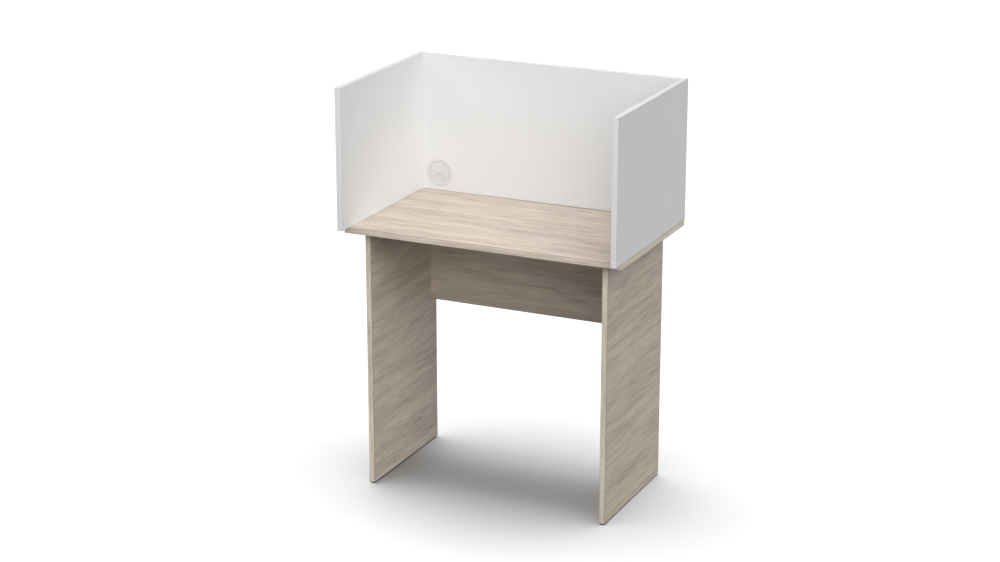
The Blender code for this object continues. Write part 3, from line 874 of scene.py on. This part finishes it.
def cam_bolt_mesh(material):
    """A cam bolt along Z: its thread above zero, and its neck and round head below."""
    low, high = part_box("left_leg_bolt_front")
    thread_end = high.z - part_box("desktop")[0].z
    foot = thread_end - (high.z - low.z)
    head = (high.x - low.x) / 2
    head_ease = 0.0006
    head_top = foot + 0.0026
    neck = 0.0022
    neck_start = foot + 0.0034
    neck_end = -0.0052
    radius = 0.0030
    shank_start = -0.0046
    collar = -0.0009
    depth = 0.0007
    pitch = 0.0018
    tip = 0.0012
    blunt = 0.0010
    profile = [(head - head_ease, foot, 0), (head, foot + head_ease, 0), (head, head_top, 0)]
    profile += [(neck, neck_start, 0), (neck, neck_end, 0), (radius, shank_start, 0), (radius, collar, 0)]
    profile += thread_run(radius, collar, thread_end - tip, depth, pitch)
    profile.append((radius - blunt, thread_end, 0))
    bm = bmesh.new()
    add_loft(bm, threaded(profile, pitch))
    mesh = mesh_from("cam_bolt_fine", bm)
    dress(mesh, 50, material)
    return mesh


def screw_mesh(material):
    """A one-piece screw: a hexagon socket in its head at zero, a shoulder and a coarse thread."""
    low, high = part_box("left_screen_screw_front")
    length = high.z - low.z
    head = (high.x - low.x) / 2
    head_inset = 0.0005
    head_levels = (0.0004, 0.0015)
    shaft = 0.0032
    shoulder = (0.0040, 0.0100)
    thread_start = 0.0105
    thread_end = length - 0.0035
    depth = 0.0011
    pitch = 0.0030
    tip = 0.0015
    profile = [(head - head_inset, 0, 0)]
    profile += [(head, level, 0) for level in head_levels]
    profile += [(shaft, level, 0) for level in shoulder]
    profile += thread_run(shaft, thread_start, thread_end, depth, pitch)
    profile.append((tip, length, 0))
    bm = bmesh.new()
    add_loft(bm, threaded(profile, pitch))

    lead = 0.0003
    across = 0.0023
    socket_end = 0.0025
    point = (0.0006, 0.0033)
    rings = [(across + 2 * lead, -lead), (across, lead), (across, socket_end), point]
    turns = [tau * corner / 6 for corner in range(6)]
    socket = bmesh.new()
    add_loft(socket, [[(reach * cos(turn), reach * sin(turn), z) for turn in turns] for reach, z in rings])
    mesh = subtract(mesh_from("screw", bm), [socket])
    mesh.name = "screw_fine"
    dress(mesh, 35, material)
    return mesh


def cam_mesh(material):
    """A cam housing about Z, its top at zero: a driver's cross, a pointer and the bolt's slot along Y."""
    low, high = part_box("left_panel_cam_lower")
    length = high.y - low.y
    radius = (high.x - low.x) / 2
    rim = 0.0004
    groove = 0.0003
    waist = 0.0006
    groove_points = ((0.0016, 0), (0.0013, -groove), (0.0008, -groove), (0.0005, 0))
    waist_points = ((0, -0.0028), (waist, -0.0032), (waist, -0.0108), (0, -0.0112))
    profile = [(0, 0)]
    profile += [(radius - inset, level) for inset, level in groove_points]
    profile += arc(radius - rim, -rim, rim, 90, 4, -90)[1:]
    profile += [(radius - inset, level) for inset, level in waist_points]
    profile += [(radius, rim - length), (radius - rim, -length), (0, -length)]
    bm = bmesh.new()
    add_turned(bm, profile, MEDIUM)

    half = 0.0038
    slot_levels = (-0.0160, -0.0040)
    past_wall = 2 * radius
    corners = ((-half, -half), (half, -half), (half, past_wall), (-half, past_wall))
    slot = bmesh.new()
    add_prism(slot, corners, *slot_levels)

    above = 0.0004
    arms = ((0.0041, 0.0009, above), (0.0039, 0.0007, -groove), (0.0035, 0.0005, -0.0015))
    cross = bmesh.new()
    add_loft(cross, [[(*point, z) for point in cross_outline(arm, half)] for arm, half, z in arms])

    arrow = ((-0.0007, 0.0043), (0.0007, 0.0043), (0, 0.0054))
    pointer = bmesh.new()
    add_prism(pointer, arrow, -groove, above)
    mesh = subtract(mesh_from("cam", bm), [slot, cross, pointer])
    mesh.name = "cam_fine"
    dress(mesh, 35, material)
    return mesh


def cross_outline(arm, half):
    """A plus sign as (x, y) points, its arms twice half wide."""
    outline = []
    for quarter in range(4):
        turn = Matrix.Rotation(quarter * pi / 2, 2)
        outline += [turn @ Vector(point) for point in ((arm, -half), (arm, half), (half, half))]
    return [tuple(point) for point in outline]


def dowel_mesh(material):
    """A fluted dowel along Z with chamfered ends, its middle at zero."""
    low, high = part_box("left_panel_dowel")
    half = (high.x - low.x) / 2
    radius = (high.y - low.y) / 2
    flutes = 16
    flute_depth = 0.00022
    steps = 6 * flutes
    chamfer = 0.0010
    ends = ((half, 1), (half - chamfer, 0), (half - 1.5 * chamfer, 0))
    levels = [(-z, inset) for z, inset in ends] + [(z, inset) for z, inset in reversed(ends)]
    loops = []
    for height, inset in levels:
        loop = []
        for step in range(steps):
            angle = tau * step / steps
            dip = flute_depth * max(0.0, cos(flutes * angle)) ** 2
            reach = radius - dip - inset * chamfer
            loop.append((reach * cos(angle), reach * sin(angle), height))
        loops.append(loop)
    bm = bmesh.new()
    add_loft(bm, loops)
    mesh = mesh_from("dowel_fine", bm)
    dress(mesh, 40, material)
    set_grain(mesh, Z, X, (0, 0, 0))
    return mesh


def glide_mesh(material):
    """A glide standing on zero: a round-edged foot moulded onto its nail."""
    low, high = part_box("left_glide_front")
    radius = (high.x - low.x) / 2
    tip = high.z
    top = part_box("left_leg")[0].z - GAP
    foot = 0.0012
    shoulder = 0.0005
    nail = 0.0012
    collar = 0.0008
    collar_height = 0.0002
    point_start = tip - 0.0028
    point = 0.0003
    profile = [(0, 0), *arc(radius - foot, foot, foot, -90)]
    profile += arc(radius - shoulder, top - shoulder, shoulder, 0, 4)
    profile += [(nail + collar, top), (nail, top + collar_height)]
    profile += [(nail, point_start), (point, tip), (0, tip)]
    bm = bmesh.new()
    add_turned(bm, profile, MEDIUM)
    mesh = mesh_from("glide_fine", bm)
    dress(mesh, 40, material)
    return mesh


def place_cams(hand, side, mesh):
    """The cams of one hand, each turned to face its bolt."""
    joints = (("leg", ENDS, -side * X, Z), ("panel", ROWS, Y, side * X), ("screen", ROWS, Y, side * X))
    for joint, rows, face, to_bolt in joints:
        for row in rows:
            node = f"{hand}_{joint}_cam_{row}"
            low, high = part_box(node)
            middle = (low + high) / 2
            top = middle + face * abs((high - low).dot(face)) / 2
            cam = link_object(f"{node}_fine", mesh, face_place(top, face, to_bolt))
            settle(cam, node)


def place_bolts_and_dowels(hand, side, bolt_mesh, peg_mesh):
    """The cam bolts and dowels of one hand."""
    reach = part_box("left_leg_bolt_front")[1].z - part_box("desktop")[0].z
    joints = (("leg", ENDS, Z), ("panel", ROWS, side * X), ("screen", ROWS, side * X))
    for joint, rows, axis in joints:
        for row in rows:
            node = f"{hand}_{joint}_bolt_{row}"
            low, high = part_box(node)
            middle = (low + high) / 2
            tip = middle + axis * abs((high - low).dot(axis)) / 2
            bolt = link_object(f"{node}_fine", bolt_mesh, axis_place(tip - reach * axis, axis))
            settle(bolt, node)
        node = f"{hand}_{joint}_dowel"
        low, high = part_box(node)
        dowel = link_object(f"{node}_fine", peg_mesh, axis_place((low + high) / 2, axis))
        settle(dowel, node)


def place_upright(node, mesh):
    """A piece that stands on the middle of its node's foot."""
    low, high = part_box(node)
    foot = Vector(((low.x + high.x) / 2, (low.y + high.y) / 2, low.z))
    settle(link_object(f"{node}_fine", mesh, Matrix.Translation(foot)), node)


def make_fasteners(finishes):
    """Every cam, bolt and dowel, the screws under the side screens, and the glides."""
    cam = cam_mesh(finishes["cam_zinc"])
    bolt = cam_bolt_mesh(finishes["plated_steel"])
    dowel = dowel_mesh(finishes["beech"])
    screw = screw_mesh(finishes["plated_steel"])
    glide = glide_mesh(finishes["glide_plastic"])
    for hand, side in HANDS.items():
        place_cams(hand, side, cam)
        place_bolts_and_dowels(hand, side, bolt, dowel)
        for end in ENDS:
            place_upright(f"{hand}_screen_screw_{end}", screw)
            place_upright(f"{hand}_glide_{end}", glide)


# Studio


def make_floor():
    """A pale matt floor, wide enough to fill the view. It throws nothing back at the carrel."""
    bm = bmesh.new()
    bmesh.ops.create_circle(bm, cap_ends=True, radius=FLOOR_RADIUS, segments=FLOOR_SIDES)
    mesh = mesh_from("floor", bm)
    finish = Finish("floor_paint", specular=0.2)
    cloud = finish.noise(finish.place(), (2.0,) * 3, 2.0)
    look = finish.mix(cloud, (0.400,) * 3, (0.404,) * 3)
    roughness = finish.remap(cloud, 0.3, 0.7, 0.85, 0.95)
    mesh.materials.append(finish.done(look, roughness, cloud, depth=0.0001))
    floor = link_object("floor", mesh)
    floor.visible_diffuse = False
    floor.visible_glossy = False
    floor.visible_shadow = False
    return floor


def lit_by(name, objects, state):
    """What a lamp falls on: these objects alone (INCLUDE), or everything else (EXCLUDE)."""
    group = bpy.data.collections.new(name)
    for index, obj in enumerate(objects):
        group.objects.link(obj)
        group.collection_objects[index].light_linking.link_state = state
    return group


def make_sun(group, name, strength, elevation, azimuth, mirrored):
    """A distant soft lamp. Azimuth 0 shines from the sitter's side, and 90 from the right."""
    light = bpy.data.lights.new(name, "SUN")
    light.energy = strength
    light.angle = radians(SPREAD)
    lamp = bpy.data.objects.new(name, light)
    lamp.rotation_euler = Euler((radians(90 - elevation), 0, radians(azimuth)))
    lamp.light_linking.receiver_collection = group
    lamp.visible_glossy = mirrored
    bpy.context.scene.collection.objects.link(lamp)


def make_studio(floor):
    """White surroundings to mirror, lamps on the carrel, one more on its desktop, and one on the floor."""
    world = bpy.data.worlds.new("studio")
    world.use_nodes = True
    background = world.node_tree.nodes["Background"]
    background.inputs["Color"].default_value = (1, 1, 1, 1)
    background.inputs["Strength"].default_value = SURROUNDINGS
    bpy.context.scene.world = world
    world.cycles_visibility.diffuse = False

    carrel = lit_by("carrel_lights", [floor], "EXCLUDE")
    for lamp in CARREL_LAMPS:
        make_sun(carrel, *lamp)
    make_sun(lit_by("floor_light", [floor], "INCLUDE"), *FLOOR_LAMP)
    desk_nodes = [node for node in PRINT_PLACES if node.startswith("desktop")]
    desk_pieces = [bpy.data.objects[f"{node}_fine"] for node in desk_nodes]
    make_sun(lit_by("desk_light", desk_pieces, "INCLUDE"), *DESK_LAMP)
    bpy.context.scene.view_settings.view_transform = "Standard"


def make_camera():
    """The camera: in front of the carrel, to its right, and looking down on it."""
    data = bpy.data.cameras.new("camera")
    data.lens = CAMERA_LENS
    data.sensor_width = CAMERA_SENSOR
    data.clip_end = CAMERA_REACH
    camera = bpy.data.objects.new("camera", data)
    camera.location = CAMERA_PLACE
    camera.rotation_euler = (radians(CAMERA_TILT), 0, radians(CAMERA_TURN))
    bpy.context.scene.collection.objects.link(camera)
    bpy.context.scene.camera = camera


def make_scene():
    """Builds every piece, the studio and the camera."""
    finishes = make_finishes()
    make_boards(finishes)
    make_bands(finishes)
    make_port_sleeve(finishes["port_plastic"])
    make_port_cap(finishes["port_plastic"])
    make_fasteners(finishes)
    make_studio(make_floor())
    make_camera()


make_scene()
